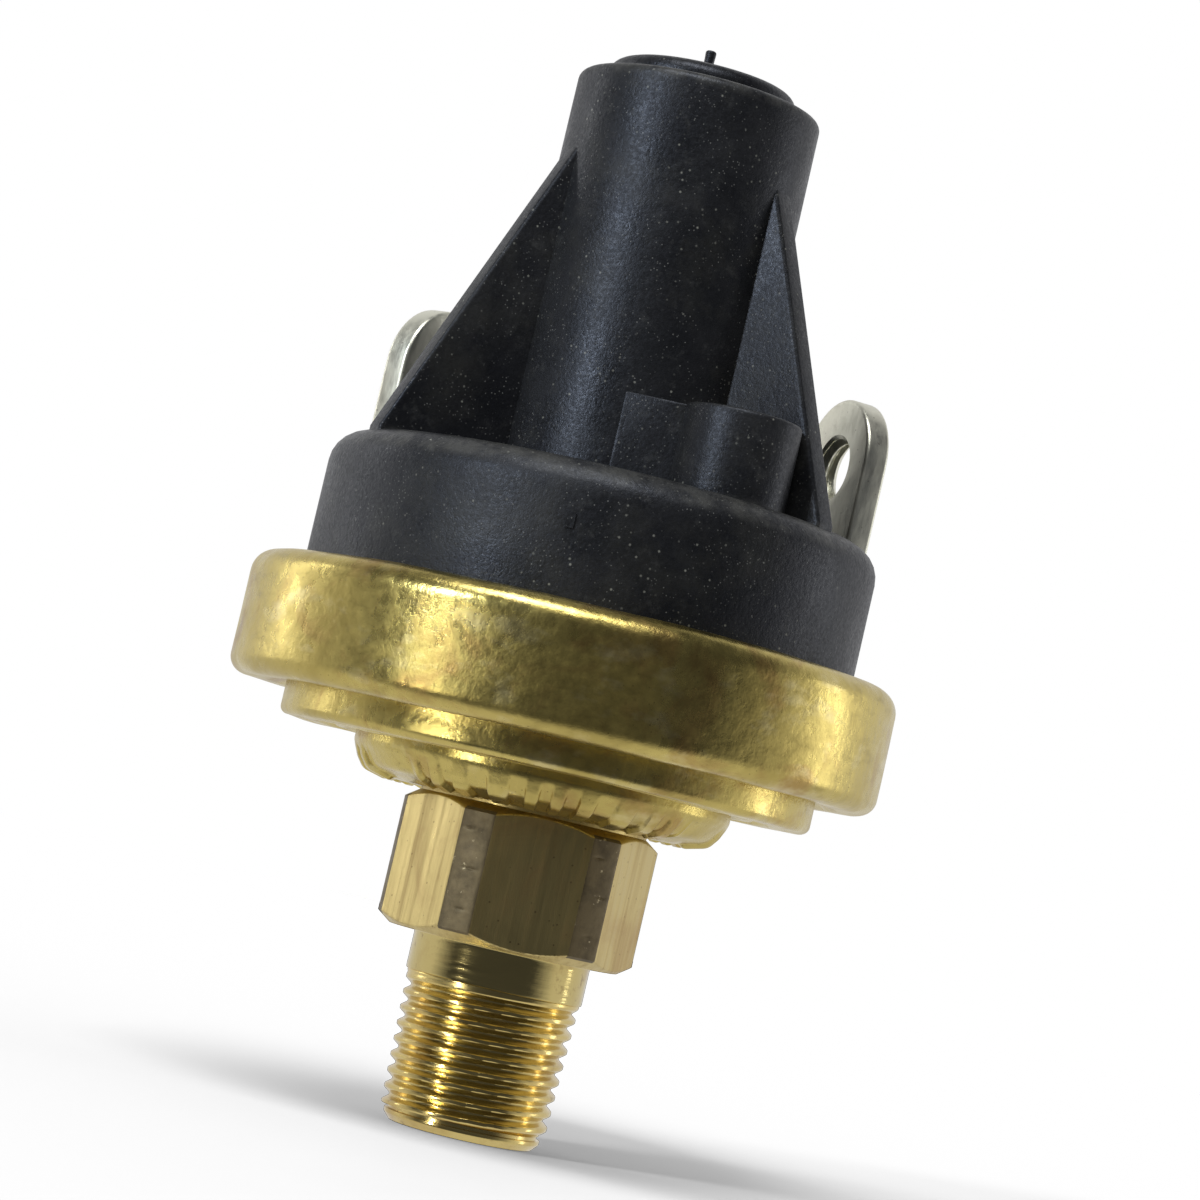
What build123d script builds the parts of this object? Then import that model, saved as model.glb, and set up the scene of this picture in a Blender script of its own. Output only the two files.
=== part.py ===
"""Adjustable diaphragm pressure switch: a brass pressure port and crimped shell under a black moulded
housing that carries two tapped tab terminals, three gussets and an adjusting tower closed by a plug.

Units are millimetres. The origin is on the port axis, at the shoulder where the collar meets the hexagon.
+Z runs up the axis to the tower. The third gusset points along +Y, so the YZ plane is the mirror plane of
the housing, and the terminals stand at 30 and 150 degrees about Z.
"""
import math
import os

from build123d import *

# How far cutting bodies run past what they cut, and buried ones into what holds them
OVERRUN = 1.0

# Port fitting: 1/8-27 taper pipe thread, smooth collar and 9/16 inch hexagon
THREAD_PITCH = 25.4 / 27
THREAD_TAPER = 1 / 32
THREAD_TOP_R = 5.25
THREAD_TOP_Z = -2.4
THREAD_END_Z = -11.3
THREAD_DEPTH = 0.45
THREAD_END_CHAMFER = 0.7
THREAD_END_R = 4.35
THREAD_CHAMFER_R = 5.0
THREAD_CRESTS = 9
THREAD_FIRST_CREST = 0.75
THREAD_ROOT_SHARE = 0.46
THREAD_CREST_SHARE = 0.08
THREAD_CORE_R = 2.6
COLLAR_R = 5.35
HEX_FLATS = 14.29
HEX_CORNER_R = 7.75
HEX_FACE_ANGLE = -77.6
HEX_TOP_Z = 8.1
HEX_CHAMFER_R = 6.95
HEX_CHAMFER_H = 0.55
PORT_BORE_R = 1.6
STAKE_R = 6.2
STAKE_TOP_Z = 9.9
STAKE_TOP_R = 5.6
STAKE_NECK_R = 4.6
SNUBBER_R = 2.4
SNUBBER_Z = 6.5
SNUBBER_TOP_Z = 9.7
ORIFICE_R = 0.4

# Stamped shell, crimped over the housing flange
SHELL_T = 0.8
SHELL_R = 19.75
SHELL_FLOOR_Z = 8.3
PLATE_FLAT_R = 8.6
PLATE_SHOULDER_R = 10.6
PLATE_SHOULDER_H = 0.5
PLATE_R = 11.5
PLATE_CORNER_H = 1.7
STEP_R = 16.2
STEP_Z = 10.6
LEDGE_Z = 12.4
SHELL_TOP_Z = 19.95
BEAD_R = 13.4
BEAD_HALF = 0.7
BEAD_H = 0.4
CREASE_W = 0.7
CREASE_H = 0.3
PLATE_EDGE_R = 1.2
STEP_EDGE_R = 1.6
RIM_LOW_R = 1.9
RIM_TOP_R = 2.8
SMALL_EDGE_R = 0.2
INNER_EDGE_R = 0.5
NECK_GAP = 0.02
RIM_GAP = 0.05

# Diaphragm stack, clamped on the shell's inner ledge
STACK_Z = LEDGE_Z + SHELL_T
STACK_OUT_R = 18.3
GASKET_IN_R = 15.9
GASKET_T = 0.5
DIAPHRAGM_T = 0.3
CLAMP_RING_T = 0.8
CLAMP_RING_IN_R = 14.2
DIAPHRAGM_CROWN_R = 9.4
DIAPHRAGM_FOOT_R = 13.2
DIAPHRAGM_CROWN_Z = 15.2
DIAPHRAGM_SLANT = 0.1

# Moulded housing
DECK_R = 16.8
DECK_TOP_Z = 28.0
DECK_EDGE_R = 2.0
FLANGE_R = 18.85
FLANGE_EDGE_R = 2.1
CAVITY_R = 13.0
CAVITY_TOP_Z = 25.0
TOWER_R = 7.5
TOWER_TOP_Z = 52.6
TOWER_RIM_R = 0.5
TOWER_BORE_R = 4.65
RECESS_R = 5.9
RECESS_Z = 52.1
FIN_ANGLES = (-150, -30, 90)
FIN_T = 1.7
FIN_FOOT_R = 15.6
FIN_TOP_Z = 47.4
FIN_ROOT_R = 6.5
BOSS_ANGLE = -47.7
BOSS_AXIS_R = 11.2
BOSS_R = 3.45
BOSS_TOP_Z = 33.2
WEB_LEFT_X = 0.45
WEB_FRONT_Y = -8.1
WEB_T = 2.0
FILTER_R = 2.0
FILTER_T = 1.5
FILTER_GAP = 0.2
VENT_R = 0.8

# Terminals: tabs with a tapped screw hole, an inward leg and a riveted contact
TERMINAL_ANGLES = (30, 150)
TAB_T = 1.6
TAB_W = 8.2
TAB_AXIS_R = 15.15
TAB_TOP_Z = 37.6
TAB_HOLE_Z = 33.2
TAB_TAPPED_R = 1.715
TAB_CHAMFER = 0.4
TAB_EDGE_R = 0.25
SHANK_W = 6.4
SHANK_TOP_Z = 26.6
LEG_Z = 22.2
LEG_IN_R = 5.8
CONTACT_AXIS_R = 8.2
CONTACT_HEAD_R = 1.6
CONTACT_HEAD_H = 0.6
CONTACT_SHANK_R = 0.9
CONTACT_UPSET_R = 1.4
CONTACT_UPSET_H = 0.5

# Pusher, contact disc and the springs
PUSHER_PLATE_R = 8.9
PUSHER_PLATE_T = 1.4
PUSHER_CHAMFER = 0.3
STEM_R = 3.0
STEM_TOP_Z = 29.5
FIT = 0.06
DISC_Z = 20.0
DISC_T = 0.8
DISC_R = 10.3
CLIP_R = 4.6
CLIP_T = 0.5
CLIP_GROOVE = 0.4
CLIP_MOUTH = 2.4
SEAT_R = 4.2
SEAT_T = 1.0
PILOT_R = 2.55
PILOT_H = 1.5
SPRING_MEAN_R = 3.3
SPRING_WIRE_R = 0.45
SPRING_TURNS = 5.5
UPPER_SEAT_Z = 40.5
LIGHT_MEAN_R = 4.4
LIGHT_WIRE_R = 0.3
LIGHT_TURNS = 2.5

# Calibration screw, its brass insert and the plug that closes the tower
SCREW_R = 3.9
SCREW_LEN = 4.6
SCREW_TIP_R = 1.4
SCREW_TIP_H = 0.9
SLOT_W = 1.0
SLOT_DEPTH = 1.4
SCREW_CHAMFER = 0.4
INSERT_R = 5.5
INSERT_Z = 42.6
INSERT_TOP_Z = 48.4
INSERT_GROOVE_D = 0.4
INSERT_GROOVE_W = 1.2
PLUG_HEAD_R = 5.8
PLUG_TOP_Z = 53.9
PLUG_EDGE_R = 0.9
PLUG_SHANK_R = 4.55
PLUG_SHANK_Z = 49.0
SPRUE_R = 0.3
SPRUE_TOP_Z = 55.6
SEAL_R = 0.45
SEAL_Z = 50.6


def turned(points, radii=None):
    """A solid of revolution about Z from (radius, height) corners, each rounded by its own radius."""
    corners = [(r, 0, z) for r, z in points]
    if radii is None:
        outline = Polyline(*corners, close=True)
    else:
        outline = FilletPolyline(*corners, radius=radii, close=True)
    return revolve(make_face(outline), Axis.Z)


def disc(radius, z_low, z_high):
    """A plain round disc or pin on the axis."""
    return Pos(0, 0, z_low) * Cylinder(radius, z_high - z_low, align=(Align.CENTER, Align.CENTER, Align.MIN))


def ring(outer, inner, z_low, z_high):
    """A flat ring on the axis."""
    return disc(outer, z_low, z_high) - disc(inner, z_low - OVERRUN, z_high + OVERRUN)


def coil_spring(mean_r, wire_r, z_low, z_high, turns):
    """An open round-wire compression spring standing between two heights."""
    height = z_high - z_low - 2 * wire_r
    path = Helix(pitch=height / turns, height=height, radius=mean_r)
    section = Plane(origin=path @ 0, z_dir=path % 0) * Circle(wire_r)
    return Pos(0, 0, z_low + wire_r) * sweep(section, path=path, is_frenet=True)


def thread_crest(crest_z):
    """One ring of the taper thread, with 60 degree flanks."""
    crest_r = THREAD_TOP_R - (THREAD_TOP_Z - crest_z) * THREAD_TAPER
    root_r = crest_r - THREAD_DEPTH
    half_root = THREAD_PITCH * THREAD_ROOT_SHARE
    half_crest = THREAD_PITCH * THREAD_CREST_SHARE
    return turned(
        [
            (THREAD_CORE_R, crest_z - half_root),
            (root_r, crest_z - half_root),
            (crest_r, crest_z - half_crest),
            (crest_r, crest_z + half_crest),
            (root_r, crest_z + half_root),
            (THREAD_CORE_R, crest_z + half_root),
        ]
    )


# --- Port fitting -----------------------------------------------------------------------------------
thread_root_top = THREAD_TOP_R - THREAD_DEPTH
thread_root_end = thread_root_top - (THREAD_TOP_Z - THREAD_END_Z) * THREAD_TAPER
thread_core = turned(
    [
        (0, THREAD_END_Z),
        (thread_root_end, THREAD_END_Z),
        (thread_root_top, THREAD_TOP_Z),
        (0, THREAD_TOP_Z),
    ]
)
for crest in range(THREAD_CRESTS):
    thread_core += thread_crest(THREAD_TOP_Z - THREAD_FIRST_CREST - crest * THREAD_PITCH)
thread_envelope = turned(
    [
        (0, THREAD_END_Z),
        (THREAD_END_R, THREAD_END_Z),
        (THREAD_CHAMFER_R, THREAD_END_Z + THREAD_END_CHAMFER),
        (COLLAR_R, THREAD_TOP_Z),
        (0, THREAD_TOP_Z),
    ]
)
thread = thread_core & thread_envelope
collar = disc(COLLAR_R, THREAD_TOP_Z, 0)
hex_profile = RegularPolygon(HEX_FLATS / 2, 6, major_radius=False, rotation=HEX_FACE_ANGLE + 30)
hex_blank = extrude(hex_profile, HEX_TOP_Z)
hex_envelope = turned(
    [
        (0, 0),
        (HEX_CHAMFER_R, 0),
        (HEX_CORNER_R, HEX_CHAMFER_H),
        (HEX_CORNER_R, HEX_TOP_Z - HEX_CHAMFER_H),
        (HEX_CHAMFER_R, HEX_TOP_Z),
        (0, HEX_TOP_Z),
    ]
)
hexagon = hex_blank & hex_envelope
stake = turned(
    [
        (0, HEX_TOP_Z),
        (HEX_CHAMFER_R, HEX_TOP_Z),
        (HEX_CHAMFER_R, SHELL_FLOOR_Z),
        (STAKE_NECK_R, SHELL_FLOOR_Z),
        (STAKE_NECK_R, SHELL_FLOOR_Z + SHELL_T),
        (STAKE_R, SHELL_FLOOR_Z + SHELL_T),
        (STAKE_TOP_R, STAKE_TOP_Z),
        (0, STAKE_TOP_Z),
    ]
)
port_fitting = thread + collar + hexagon + stake
port_fitting -= disc(PORT_BORE_R, THREAD_END_Z - OVERRUN, STAKE_TOP_Z + OVERRUN)
port_fitting -= disc(SNUBBER_R, SNUBBER_Z, STAKE_TOP_Z + OVERRUN)

orifice_snubber = ring(SNUBBER_R, ORIFICE_R, SNUBBER_Z, SNUBBER_TOP_Z)

# --- Shell ------------------------------------------------------------------------------------------
shell_outline = [
    (STAKE_NECK_R + NECK_GAP, SHELL_FLOOR_Z),
    (PLATE_FLAT_R, SHELL_FLOOR_Z),
    (PLATE_SHOULDER_R, SHELL_FLOOR_Z + PLATE_SHOULDER_H),
    (PLATE_R, SHELL_FLOOR_Z + PLATE_CORNER_H),
    (PLATE_R, STEP_Z),
    (BEAD_R - BEAD_HALF, STEP_Z),
    (BEAD_R - BEAD_HALF / 2, STEP_Z + BEAD_H),
    (BEAD_R + BEAD_HALF / 2, STEP_Z + BEAD_H),
    (BEAD_R + BEAD_HALF, STEP_Z),
    (STEP_R, STEP_Z),
    (STEP_R, LEDGE_Z + CREASE_H),
    (STEP_R + CREASE_W, LEDGE_Z + CREASE_H),
    (STEP_R + 2 * CREASE_W, LEDGE_Z),
    (SHELL_R, LEDGE_Z),
    (SHELL_R, SHELL_TOP_Z),
    (DECK_R + RIM_GAP, SHELL_TOP_Z),
    (DECK_R + RIM_GAP, SHELL_TOP_Z - SHELL_T),
    (SHELL_R - SHELL_T, SHELL_TOP_Z - SHELL_T),
    (SHELL_R - SHELL_T, STACK_Z),
    (STEP_R - SHELL_T, STACK_Z),
    (STEP_R - SHELL_T, STEP_Z + SHELL_T),
    (PLATE_R - SHELL_T, STEP_Z + SHELL_T),
    (PLATE_R - SHELL_T, SHELL_FLOOR_Z + SHELL_T),
    (STAKE_NECK_R + NECK_GAP, SHELL_FLOOR_Z + SHELL_T),
]
shell_rounding = [0, PLATE_EDGE_R, PLATE_EDGE_R / 2, PLATE_EDGE_R / 2, 0]
shell_rounding += 4 * [SMALL_EDGE_R] + [STEP_EDGE_R] + 3 * [SMALL_EDGE_R]
shell_rounding += [RIM_LOW_R, RIM_TOP_R, 0, 0, RIM_TOP_R - SHELL_T, INNER_EDGE_R]
shell_rounding += [SMALL_EDGE_R, STEP_EDGE_R - SHELL_T, SMALL_EDGE_R, PLATE_EDGE_R, 0]
pressure_shell = turned(shell_outline, shell_rounding)

# --- Diaphragm stack --------------------------------------------------------------------------------
gasket_top = STACK_Z + GASKET_T
diaphragm_top = gasket_top + DIAPHRAGM_T
flange_z = diaphragm_top + CLAMP_RING_T
seal_gasket = ring(STACK_OUT_R, GASKET_IN_R, STACK_Z, gasket_top)
diaphragm = turned(
    [
        (0, DIAPHRAGM_CROWN_Z - DIAPHRAGM_T),
        (DIAPHRAGM_CROWN_R, DIAPHRAGM_CROWN_Z - DIAPHRAGM_T),
        (DIAPHRAGM_FOOT_R, gasket_top),
        (STACK_OUT_R, gasket_top),
        (STACK_OUT_R, diaphragm_top),
        (DIAPHRAGM_FOOT_R + DIAPHRAGM_SLANT, diaphragm_top),
        (DIAPHRAGM_CROWN_R + DIAPHRAGM_SLANT, DIAPHRAGM_CROWN_Z),
        (0, DIAPHRAGM_CROWN_Z),
    ]
)
clamp_ring = ring(STACK_OUT_R, CLAMP_RING_IN_R, diaphragm_top, flange_z)

# --- Pusher group -----------------------------------------------------------------------------------
plate_top = DIAPHRAGM_CROWN_Z + PUSHER_PLATE_T
clip_z = DISC_Z + DISC_T
pusher = turned(
    [
        (0, DIAPHRAGM_CROWN_Z),
        (PUSHER_PLATE_R, DIAPHRAGM_CROWN_Z),
        (PUSHER_PLATE_R, plate_top - PUSHER_CHAMFER),
        (PUSHER_PLATE_R - PUSHER_CHAMFER, plate_top),
        (STEM_R, plate_top),
        (STEM_R, clip_z),
        (STEM_R - CLIP_GROOVE, clip_z),
        (STEM_R - CLIP_GROOVE, clip_z + CLIP_T),
        (STEM_R, clip_z + CLIP_T),
        (STEM_R, STEM_TOP_Z),
        (0, STEM_TOP_Z),
    ]
)
clip_gap = Pos(CLIP_R, 0, clip_z + CLIP_T / 2) * Box(2 * CLIP_R, CLIP_MOUTH, 2 * CLIP_T)
retaining_clip = ring(CLIP_R, STEM_R - CLIP_GROOVE, clip_z, clip_z + CLIP_T) - clip_gap
contact_disc = ring(DISC_R, STEM_R + FIT, DISC_Z, clip_z)
overtravel_spring = coil_spring(LIGHT_MEAN_R, LIGHT_WIRE_R, plate_top, DISC_Z, LIGHT_TURNS)

seat_top = STEM_TOP_Z + SEAT_T
lower_spring_seat = disc(SEAT_R, STEM_TOP_Z, seat_top) + disc(PILOT_R, seat_top, seat_top + PILOT_H)
upper_spring_seat = disc(SEAT_R, UPPER_SEAT_Z, UPPER_SEAT_Z + SEAT_T)
upper_spring_seat += disc(PILOT_R, UPPER_SEAT_Z - PILOT_H, UPPER_SEAT_Z)
calibration_spring = coil_spring(SPRING_MEAN_R, SPRING_WIRE_R, seat_top, UPPER_SEAT_Z, SPRING_TURNS)

# --- Calibration screw and insert -------------------------------------------------------------------
tip_z = UPPER_SEAT_Z + SEAT_T
screw_z = tip_z + SCREW_TIP_H
screw_top = screw_z + SCREW_LEN
calibration_screw = disc(SCREW_TIP_R, tip_z, screw_z) + disc(SCREW_R, screw_z, screw_top)
screw_rim = calibration_screw.edges().filter_by(GeomType.CIRCLE).sort_by(Axis.Z)[-1]
calibration_screw = chamfer(screw_rim, SCREW_CHAMFER)
slot_centre_z = screw_top + (OVERRUN - SLOT_DEPTH) / 2
calibration_screw -= Pos(0, 0, slot_centre_z) * Box(3 * SCREW_R, SLOT_W, SLOT_DEPTH + OVERRUN)
insert_mid = (INSERT_Z + INSERT_TOP_Z) / 2
groove_z = insert_mid - INSERT_GROOVE_W / 2
insert_groove = ring(INSERT_R + OVERRUN, INSERT_R - INSERT_GROOVE_D, groove_z, groove_z + INSERT_GROOVE_W)
threaded_insert = ring(INSERT_R, SCREW_R + FIT, INSERT_Z, INSERT_TOP_Z) - insert_groove

# --- Plug -------------------------------------------------------------------------------------------
tower_plug = disc(PLUG_HEAD_R, RECESS_Z, PLUG_TOP_Z)
tower_plug = fillet(tower_plug.edges().sort_by(Axis.Z)[-1], PLUG_EDGE_R)
tower_plug += disc(PLUG_SHANK_R, PLUG_SHANK_Z, RECESS_Z) + disc(SPRUE_R, PLUG_TOP_Z, SPRUE_TOP_Z)
seal_axis_r = TOWER_BORE_R - SEAL_R
tower_plug -= ring(TOWER_BORE_R + OVERRUN, seal_axis_r - SEAL_R, SEAL_Z - SEAL_R, SEAL_Z + SEAL_R)
plug_seal = Pos(0, 0, SEAL_Z) * Torus(seal_axis_r, SEAL_R)


# --- Terminals and fixed contacts -------------------------------------------------------------------
def terminal():
    """A tab terminal standing in the XZ plane's +X side, before it is turned to its angle."""
    round_z = TAB_TOP_Z - TAB_W / 2
    face = Plane.YZ.offset(TAB_AXIS_R - TAB_T / 2)
    tab_low = SHANK_TOP_Z
    outline = Pos(0, (tab_low + round_z) / 2) * Rectangle(TAB_W, round_z - tab_low)
    outline += Pos(0, round_z) * Circle(TAB_W / 2)
    tab = extrude(face * outline, TAB_T)
    rims = [e for e in tab.edges() if e.bounding_box().size.X < 0.01 and e.center().Z > tab_low + 0.1]
    tab = fillet(rims, TAB_EDGE_R)
    shank = Pos(TAB_AXIS_R, 0, (LEG_Z + tab_low) / 2) * Box(TAB_T, SHANK_W, tab_low - LEG_Z)
    leg_len = TAB_AXIS_R + TAB_T / 2 - LEG_IN_R
    leg = Pos(LEG_IN_R + leg_len / 2, 0, LEG_Z + TAB_T / 2) * Box(leg_len, SHANK_W, TAB_T)
    body = tab + shank + leg
    hole = Pos(TAB_AXIS_R, 0, TAB_HOLE_Z) * Rot(0, 90, 0) * Cylinder(TAB_TAPPED_R, 2 * TAB_T)
    lead_in = Cone(TAB_TAPPED_R, TAB_TAPPED_R + TAB_CHAMFER, TAB_CHAMFER)
    lead_in_x = TAB_AXIS_R + TAB_T / 2 - TAB_CHAMFER / 2
    body -= hole
    body -= Pos(lead_in_x, 0, TAB_HOLE_Z) * Rot(0, 90, 0) * lead_in
    body -= Pos(CONTACT_AXIS_R, 0, LEG_Z + TAB_T / 2) * Cylinder(CONTACT_SHANK_R, 2 * TAB_T)
    return body


def fixed_contact():
    """A silver rivet contact, its flat head facing down to the contact disc."""
    head_z = LEG_Z - CONTACT_HEAD_H
    upset_z = LEG_Z + TAB_T
    rivet = disc(CONTACT_HEAD_R, head_z, LEG_Z) + disc(CONTACT_SHANK_R, LEG_Z, upset_z)
    rivet += disc(CONTACT_UPSET_R, upset_z, upset_z + CONTACT_UPSET_H)
    return Pos(CONTACT_AXIS_R, 0, 0) * rivet


right_turn, left_turn = (Rot(0, 0, angle) for angle in TERMINAL_ANGLES)
terminal_right = right_turn * terminal()
terminal_left = left_turn * terminal()
fixed_contact_right = right_turn * fixed_contact()
fixed_contact_left = left_turn * fixed_contact()


# --- Housing ----------------------------------------------------------------------------------------
def fin(angle):
    """A triangular gusset from the deck up the side of the tower."""
    corners = [(FIN_ROOT_R, 0, DECK_TOP_Z - OVERRUN), (FIN_FOOT_R, 0, DECK_TOP_Z - OVERRUN)]
    corners += [(FIN_FOOT_R, 0, DECK_TOP_Z), (TOWER_R, 0, FIN_TOP_Z), (FIN_ROOT_R, 0, FIN_TOP_Z)]
    plate = extrude(make_face(Polyline(*corners, close=True)), FIN_T / 2, both=True)
    return Rot(0, 0, angle) * plate


deck = disc(DECK_R, SHELL_TOP_Z - SHELL_T - OVERRUN, DECK_TOP_Z)
deck = fillet(deck.edges().sort_by(Axis.Z)[-1], DECK_EDGE_R)
flange = disc(FLANGE_R, flange_z, SHELL_TOP_Z - SHELL_T)
flange = fillet(flange.edges().filter_by(GeomType.CIRCLE).sort_by(Axis.Z)[-1], FLANGE_EDGE_R)
tower = disc(TOWER_R, DECK_TOP_Z - OVERRUN, TOWER_TOP_Z)
tower = fillet(tower.edges().sort_by(Axis.Z)[-1], TOWER_RIM_R)
boss_turn = Rot(0, 0, BOSS_ANGLE)
boss = boss_turn * Pos(BOSS_AXIS_R, 0, 0) * disc(BOSS_R, DECK_TOP_Z - OVERRUN, BOSS_TOP_Z)
boss_x = BOSS_AXIS_R * math.cos(math.radians(BOSS_ANGLE))
web_h = BOSS_TOP_Z - DECK_TOP_Z + OVERRUN
web_middle = Pos((WEB_LEFT_X + boss_x) / 2, WEB_FRONT_Y + WEB_T / 2, BOSS_TOP_Z - web_h / 2)
boss_web = web_middle * Box(boss_x - WEB_LEFT_X, WEB_T, web_h)
switch_housing = deck + flange + tower + boss + boss_web
for fin_angle in FIN_ANGLES:
    switch_housing += fin(fin_angle)
switch_housing -= disc(CAVITY_R, flange_z - OVERRUN, CAVITY_TOP_Z)
switch_housing -= disc(STEM_R + FIT, CAVITY_TOP_Z - OVERRUN, DECK_TOP_Z + OVERRUN)
switch_housing -= disc(TOWER_BORE_R, DECK_TOP_Z, TOWER_TOP_Z + OVERRUN)
switch_housing -= disc(RECESS_R, RECESS_Z, TOWER_TOP_Z + OVERRUN)
filter_z = BOSS_TOP_Z - FILTER_T
boss_vent = disc(FILTER_R, filter_z, BOSS_TOP_Z + OVERRUN)
boss_vent += disc(VENT_R, CAVITY_TOP_Z - OVERRUN, filter_z)
switch_housing -= boss_turn * Pos(BOSS_AXIS_R, 0, 0) * boss_vent
vent_filter = boss_turn * Pos(BOSS_AXIS_R, 0, 0) * disc(FILTER_R, filter_z, BOSS_TOP_Z - FILTER_GAP)
switch_housing -= threaded_insert
switch_housing -= terminal_right
switch_housing -= terminal_left

PARTS = {
    "port_fitting": port_fitting,
    "orifice_snubber": orifice_snubber,
    "pressure_shell": pressure_shell,
    "seal_gasket": seal_gasket,
    "diaphragm": diaphragm,
    "clamp_ring": clamp_ring,
    "pusher": pusher,
    "retaining_clip": retaining_clip,
    "contact_disc": contact_disc,
    "overtravel_spring": overtravel_spring,
    "lower_spring_seat": lower_spring_seat,
    "upper_spring_seat": upper_spring_seat,
    "calibration_spring": calibration_spring,
    "calibration_screw": calibration_screw,
    "threaded_insert": threaded_insert,
    "tower_plug": tower_plug,
    "plug_seal": plug_seal,
    "terminal_right": terminal_right,
    "terminal_left": terminal_left,
    "fixed_contact_right": fixed_contact_right,
    "fixed_contact_left": fixed_contact_left,
    "switch_housing": switch_housing,
    "vent_filter": vent_filter,
}

os.makedirs("parts", exist_ok=True)
for name, shape in PARTS.items():
    export_step(shape, f"parts/{name}.step")
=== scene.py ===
import math

import bmesh
import bpy
import numpy as np
from mathutils import Matrix, Vector


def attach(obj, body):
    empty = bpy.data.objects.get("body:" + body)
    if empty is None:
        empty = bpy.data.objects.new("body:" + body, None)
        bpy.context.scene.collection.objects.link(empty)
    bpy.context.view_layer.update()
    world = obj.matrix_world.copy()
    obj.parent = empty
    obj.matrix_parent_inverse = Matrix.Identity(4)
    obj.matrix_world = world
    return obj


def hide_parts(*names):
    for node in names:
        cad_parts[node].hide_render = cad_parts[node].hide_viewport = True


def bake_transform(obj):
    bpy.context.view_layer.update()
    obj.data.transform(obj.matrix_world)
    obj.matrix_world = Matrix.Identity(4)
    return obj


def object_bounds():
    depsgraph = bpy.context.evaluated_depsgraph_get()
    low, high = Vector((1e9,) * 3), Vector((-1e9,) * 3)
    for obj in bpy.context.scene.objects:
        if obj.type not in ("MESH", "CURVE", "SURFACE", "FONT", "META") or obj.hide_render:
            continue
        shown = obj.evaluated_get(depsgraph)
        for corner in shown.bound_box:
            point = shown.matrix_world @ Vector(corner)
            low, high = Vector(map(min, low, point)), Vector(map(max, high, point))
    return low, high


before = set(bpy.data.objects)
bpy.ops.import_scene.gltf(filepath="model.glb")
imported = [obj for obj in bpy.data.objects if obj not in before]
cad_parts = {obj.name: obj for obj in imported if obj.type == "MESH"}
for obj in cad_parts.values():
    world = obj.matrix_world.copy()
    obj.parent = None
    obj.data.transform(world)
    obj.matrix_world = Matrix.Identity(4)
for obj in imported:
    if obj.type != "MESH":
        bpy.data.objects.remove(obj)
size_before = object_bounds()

MM = 0.001
TAU = 2 * math.pi

# Places in millimetres and degrees that more than one piece shares.
WIRE_SIDES = 12
TAB_AXIS_R = 15.15
TAB_HOLE_Z = 33.2
BOSS_ANGLE = -47.7
BOSS_R = 11.2
WEB_Y = -7.1


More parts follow.
